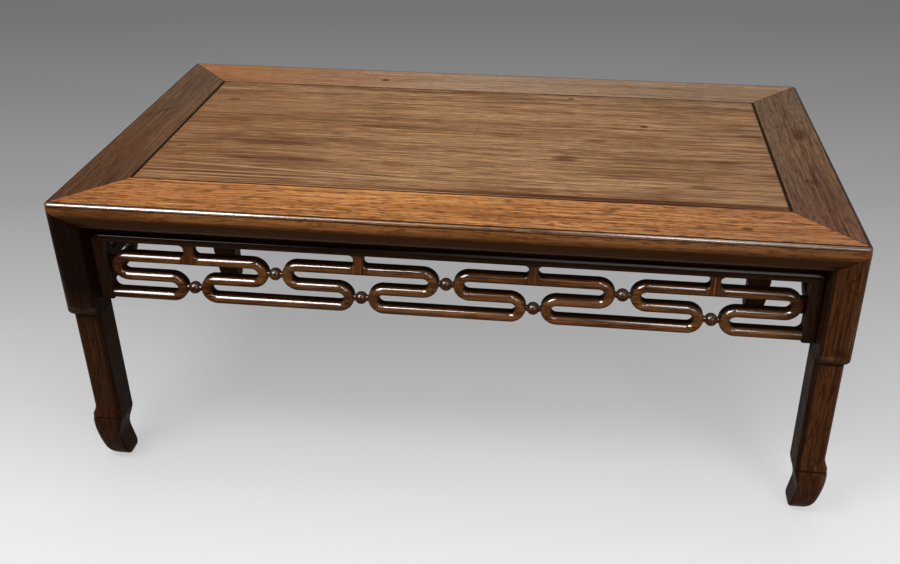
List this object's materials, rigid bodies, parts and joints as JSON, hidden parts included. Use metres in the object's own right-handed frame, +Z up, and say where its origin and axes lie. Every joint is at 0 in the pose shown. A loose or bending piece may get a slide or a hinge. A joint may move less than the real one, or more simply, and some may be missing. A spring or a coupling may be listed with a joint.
{
  "type": "kang table",
  "caption": "Low rectangular hardwood kang table with a mitred frame-and-panel top, hoof-footed legs and pierced meander aprons with small turned beads.",
  "frame": {"origin": "on the floor, under the middle of the top", "axes": "+X along the length to the right, +Y from the front to the back, +Z up"},
  "size_m": [0.84, 0.424, 0.352],
  "materials": {
    "panel_wood": "satin wax, golden brown with dark streaks",
    "frame_wood": "satin wax, orange brown with fine pores",
    "leg_wood": "satin wax, dark reddish brown",
    "apron_wood": "satin wax, dark brown"
  },
  "bodies": {
    "root": {"back_apron_beads": "apron_wood", "back_apron_left_hook": "apron_wood", "back_apron_left_stile": "apron_wood", "back_apron_meander_1": "apron_wood", "back_apron_meander_2": "apron_wood", "back_apron_meander_3": "apron_wood", "back_apron_rail": "apron_wood", "back_apron_right_hook": "apron_wood", "back_apron_right_stile": "apron_wood", "back_apron_tee_1": "apron_wood", "back_apron_tee_2": "apron_wood", "back_apron_tee_3": "apron_wood", "back_apron_tee_4": "apron_wood", "back_left_leg": "leg_wood", "back_panel_board": "panel_wood", "back_right_leg": "leg_wood", "back_top_stile": "frame_wood", "front_apron_beads": "apron_wood", "front_apron_left_hook": "apron_wood", "front_apron_left_stile": "apron_wood", "front_apron_meander_1": "apron_wood", "front_apron_meander_2": "apron_wood", "front_apron_meander_3": "apron_wood", "front_apron_rail": "apron_wood", "front_apron_right_hook": "apron_wood", "front_apron_right_stile": "apron_wood", "front_apron_tee_1": "apron_wood", "front_apron_tee_2": "apron_wood", "front_apron_tee_3": "apron_wood", "front_apron_tee_4": "apron_wood", "front_left_leg": "leg_wood", "front_panel_board": "panel_wood", "front_right_leg": "leg_wood", "front_top_stile": "frame_wood", "left_apron_back_hook": "apron_wood", "left_apron_back_stile": "apron_wood", "left_apron_beads": "apron_wood", "left_apron_front_hook": "apron_wood", "left_apron_front_stile": "apron_wood", "left_apron_meander_1": "apron_wood", "left_apron_rail": "apron_wood", "left_apron_tee_1": "apron_wood", "left_apron_tee_2": "apron_wood", "left_batten": "panel_wood", "left_top_rail": "frame_wood", "right_apron_back_hook": "apron_wood", "right_apron_back_stile": "apron_wood", "right_apron_beads": "apron_wood", "right_apron_front_hook": "apron_wood", "right_apron_front_stile": "apron_wood", "right_apron_meander_1": "apron_wood", "right_apron_rail": "apron_wood", "right_apron_tee_1": "apron_wood", "right_apron_tee_2": "apron_wood", "right_batten": "panel_wood", "right_top_rail": "frame_wood"}
  },
  "joints": []
}
